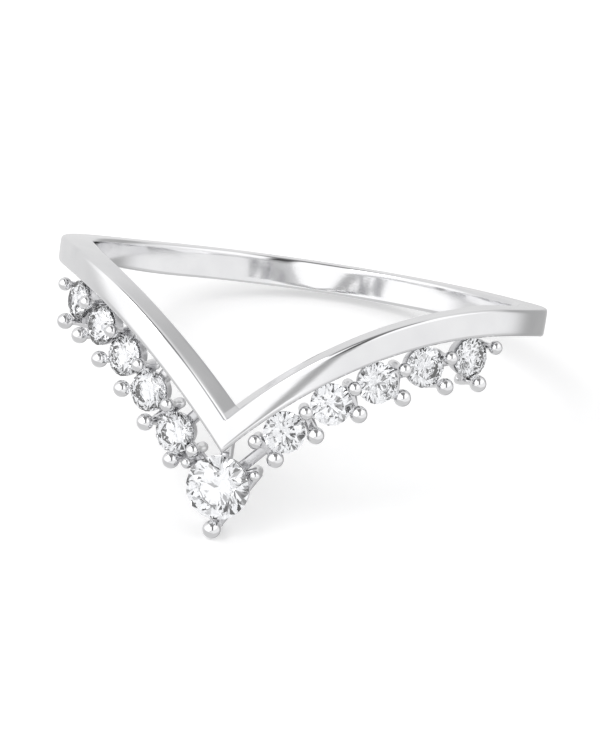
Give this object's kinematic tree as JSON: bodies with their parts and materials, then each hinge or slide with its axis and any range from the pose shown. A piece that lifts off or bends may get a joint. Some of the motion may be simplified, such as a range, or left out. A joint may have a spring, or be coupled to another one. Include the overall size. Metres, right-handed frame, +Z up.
{
  "type": "chevron ring",
  "caption": "Slim V-shaped finger ring in polished white metal, with a row of round stones in ball-pronged cups hanging under the V.",
  "frame": {"origin": "middle of the ring's footprint, on the surface that it rests on", "axes": "+X to the wearer's side of the V's right leg, +Y from the V towards the back of the band, +Z up from the surface; the ring's own axis leans back by its resting tilt"},
  "size_m": [0.0198, 0.0218, 0.0076],
  "materials": {
    "white_metal": "polished",
    "clear_stone": "polished"
  },
  "bodies": {
    "root": {"band_and_setting": "white_metal", "centre_stone": "clear_stone", "left_stone_1": "clear_stone", "left_stone_2": "clear_stone", "left_stone_3": "clear_stone", "left_stone_4": "clear_stone", "left_stone_5": "clear_stone", "right_stone_1": "clear_stone", "right_stone_2": "clear_stone", "right_stone_3": "clear_stone", "right_stone_4": "clear_stone", "right_stone_5": "clear_stone"}
  },
  "joints": []
}
